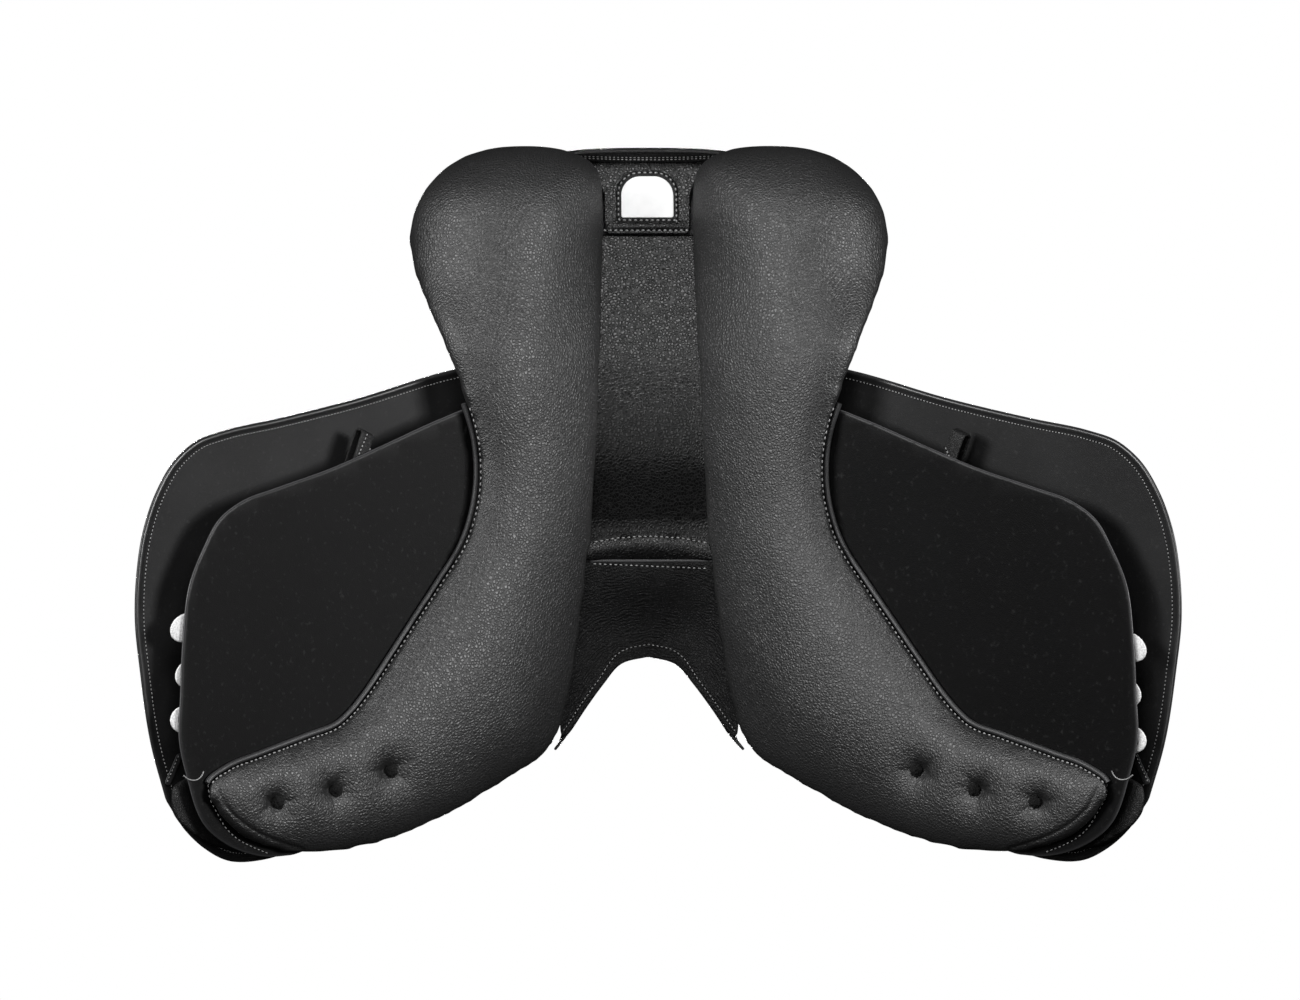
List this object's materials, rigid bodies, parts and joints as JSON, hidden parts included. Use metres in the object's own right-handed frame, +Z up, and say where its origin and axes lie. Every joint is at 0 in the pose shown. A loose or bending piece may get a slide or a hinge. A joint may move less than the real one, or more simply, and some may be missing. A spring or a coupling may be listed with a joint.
{
  "type": "all-purpose saddle",
  "caption": "English all-purpose saddle in black leather: padded panels, sweat flaps, girth straps, flaps with blocks, skirts, seat over a tree, stirrup bars and dees.",
  "frame": {"origin": "on the saddle's middle plane, under the waist, at the level where the panels bear", "axes": "+X to the rider's left, +Y towards the cantle, +Z up"},
  "size_m": [0.832, 0.5707, 0.3674],
  "materials": {
    "grain_leather": "pebbled grain",
    "flap_leather": "smooth, semi-matt",
    "sweat_leather": "smooth, matt",
    "lining_leather": "fine grain",
    "seat_leather": "smooth, satin",
    "webbing": "woven",
    "foam": "open cell",
    "tree_plastic": "moulded",
    "steel": "polished by use",
    "label_white": "plain"
  },
  "bodies": {
    "saddle": {"blank_label": "label_white", "cantle_facing": "lining_leather", "dee_chape_left": "lining_leather", "dee_chape_right": "lining_leather", "flap_root_left": "flap_leather", "flap_root_right": "flap_leather", "girth_web_front": "webbing", "girth_web_rear": "webbing", "gullet_lining": "grain_leather", "gullet_welt": "flap_leather", "head_plate": "steel", "label_surround": "lining_leather", "panel_left": "grain_leather", "panel_right": "grain_leather", "panel_welt_left": "flap_leather", "panel_welt_right": "flap_leather", "pommel_facing": "lining_leather", "pommel_lining": "lining_leather", "rear_gusset": "grain_leather", "seat_cover": "seat_leather", "seat_foam": "foam", "seat_nail_left": "steel", "seat_nail_right": "steel", "seat_welt": "seat_leather", "skirt_root_left": "seat_leather", "skirt_root_right": "seat_leather", "stirrup_bar_left": "steel", "stirrup_bar_right": "steel", "strap_keeper_left": "lining_leather", "strap_keeper_right": "lining_leather", "sweat_flap_left": "sweat_leather", "sweat_flap_right": "sweat_leather", "tree_shell": "tree_plastic"},
    "flap_left": {"flap_left": "flap_leather", "knee_block_left": "lining_leather", "thigh_block_left": "lining_leather", "leather_keeper_left": "lining_leather"},
    "skirt_left": {"skirt_left": "seat_leather"},
    "strap_left_1": {"girth_strap_left_1": "sweat_leather"},
    "strap_left_2": {"girth_strap_left_2": "sweat_leather"},
    "strap_left_3": {"girth_strap_left_3": "sweat_leather"},
    "catch_left": {"stirrup_catch_left": "steel"},
    "dee_left": {"dee_ring_left": "steel"},
    "flap_right": {"flap_right": "flap_leather", "knee_block_right": "lining_leather", "thigh_block_right": "lining_leather", "leather_keeper_right": "lining_leather"},
    "skirt_right": {"skirt_right": "seat_leather"},
    "strap_right_1": {"girth_strap_right_1": "sweat_leather"},
    "strap_right_2": {"girth_strap_right_2": "sweat_leather"},
    "strap_right_3": {"girth_strap_right_3": "sweat_leather"},
    "catch_right": {"stirrup_catch_right": "steel"},
    "dee_right": {"dee_ring_right": "steel"}
  },
  "joints": [
    {"name": "flap_lift_left", "type": "hinge", "parent": "saddle", "child": "flap_left", "pos_m": [0.17, 0, -0.00054], "axis": [0, -1, 0], "range_deg": [0, 75]},
    {"name": "skirt_lift_left", "type": "hinge", "parent": "saddle", "child": "skirt_left", "pos_m": [0.092, 0, 0.07295], "axis": [0, -1, 0], "range_deg": [0, 60]},
    {"name": "strap_lift_left_1", "type": "hinge", "parent": "saddle", "child": "strap_left_1", "pos_m": [0.128, -0.088, 0.00178], "axis": [0, -1, 0], "range_deg": [0, 2.5]},
    {"name": "strap_lift_left_2", "type": "hinge", "parent": "saddle", "child": "strap_left_2", "pos_m": [0.128, -0.124, 0.00178], "axis": [0, -1, 0], "range_deg": [0, 2.5]},
    {"name": "strap_lift_left_3", "type": "hinge", "parent": "saddle", "child": "strap_left_3", "pos_m": [0.16, -0.2, -0.02208], "axis": [0, -1, 0], "range_deg": [0, 2.5]},
    {"name": "catch_turn_left", "type": "hinge", "parent": "saddle", "child": "catch_left", "pos_m": [0.10922, -0.0588, 0.044], "axis": [0.8185, 0, -0.5746], "range_deg": [0, 60]},
    {"name": "dee_swing_left", "type": "hinge", "parent": "saddle", "child": "dee_left", "pos_m": [0.10353, -0.214, 0.0359], "axis": [0, -1, 0], "range_deg": [0, 170]},
    {"name": "flap_lift_right", "type": "hinge", "parent": "saddle", "child": "flap_right", "pos_m": [-0.17, 0, -0.00054], "axis": [0, 1, 0], "range_deg": [0, 75]},
    {"name": "skirt_lift_right", "type": "hinge", "parent": "saddle", "child": "skirt_right", "pos_m": [-0.092, 0, 0.07295], "axis": [0, 1, 0], "range_deg": [0, 60]},
    {"name": "strap_lift_right_1", "type": "hinge", "parent": "saddle", "child": "strap_right_1", "pos_m": [-0.128, -0.088, 0.00178], "axis": [0, 1, 0], "range_deg": [0, 2.5]},
    {"name": "strap_lift_right_2", "type": "hinge", "parent": "saddle", "child": "strap_right_2", "pos_m": [-0.128, -0.124, 0.00178], "axis": [0, 1, 0], "range_deg": [0, 2.5]},
    {"name": "strap_lift_right_3", "type": "hinge", "parent": "saddle", "child": "strap_right_3", "pos_m": [-0.16, -0.2, -0.02208], "axis": [0, 1, 0], "range_deg": [0, 2.5]},
    {"name": "catch_turn_right", "type": "hinge", "parent": "saddle", "child": "catch_right", "pos_m": [-0.10922, -0.0588, 0.044], "axis": [0.8185, 0, 0.5746], "range_deg": [0, 60]},
    {"name": "dee_swing_right", "type": "hinge", "parent": "saddle", "child": "dee_right", "pos_m": [-0.10353, -0.214, 0.0359], "axis": [0, 1, 0], "range_deg": [0, 170]}
  ]
}
